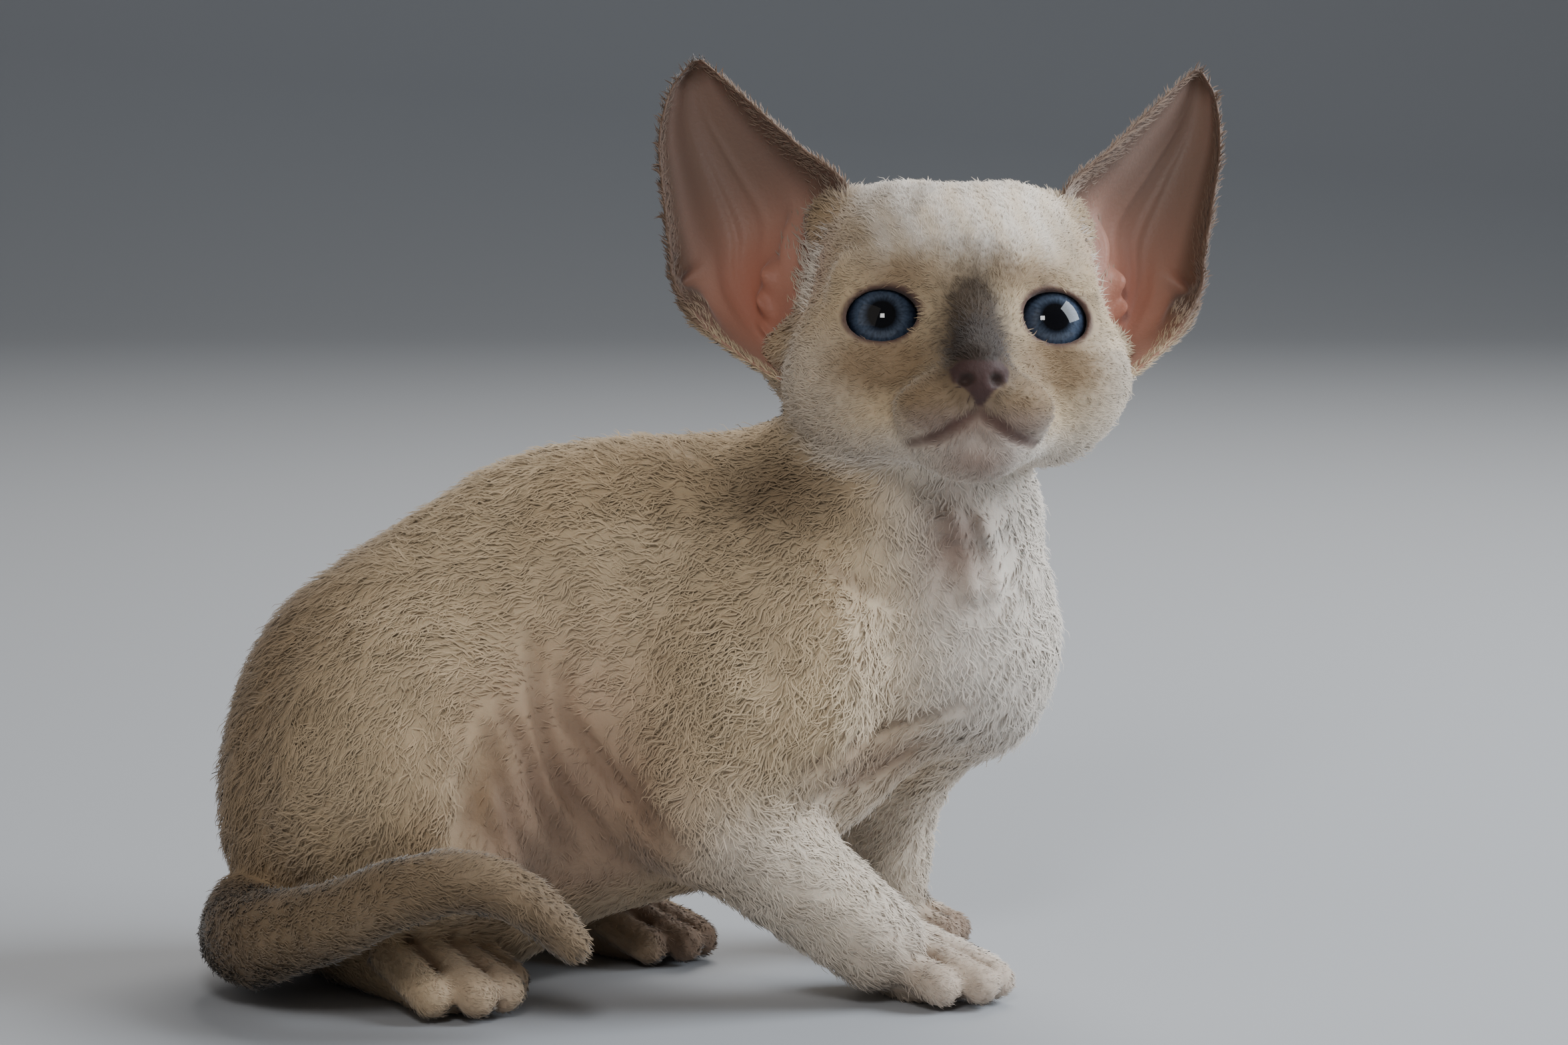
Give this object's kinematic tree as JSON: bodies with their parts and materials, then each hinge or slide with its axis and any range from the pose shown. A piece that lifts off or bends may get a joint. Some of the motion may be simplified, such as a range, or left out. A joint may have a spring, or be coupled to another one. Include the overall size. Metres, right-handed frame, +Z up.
{
  "type": "devon rex kitten",
  "caption": "Young devon rex cat crouched on its hips, head turned to its right and raised, tail round the right hind foot; large cupped ears, still model.",
  "frame": {"origin": "middle of the outline seen from above, on the floor under the paws", "axes": "+X the way the hips and trunk face, +Y the cat's left, +Z up"},
  "size_m": [0.1746, 0.1214, 0.1703],
  "materials": {
    "fur": "short soft warm cream fur",
    "ear": "thin bare skin, pink inside, grey brown at the rims",
    "eye": "wet, blue grey iris"
  },
  "bodies": {
    "root": {"head": "fur", "neck": "fur", "torso": "fur", "tail_base": "fur", "tail_mid": "fur", "tail_tip": "fur", "foreleg_right": "fur", "foreleg_left": "fur", "forepaw_right": "fur", "forepaw_left": "fur", "hindleg_right": "fur", "hindleg_left": "fur", "hindpaw_right": "fur", "hindpaw_left": "fur", "ear_right": "ear", "ear_left": "ear", "eye_right": "eye", "eye_left": "eye"}
  },
  "joints": []
}
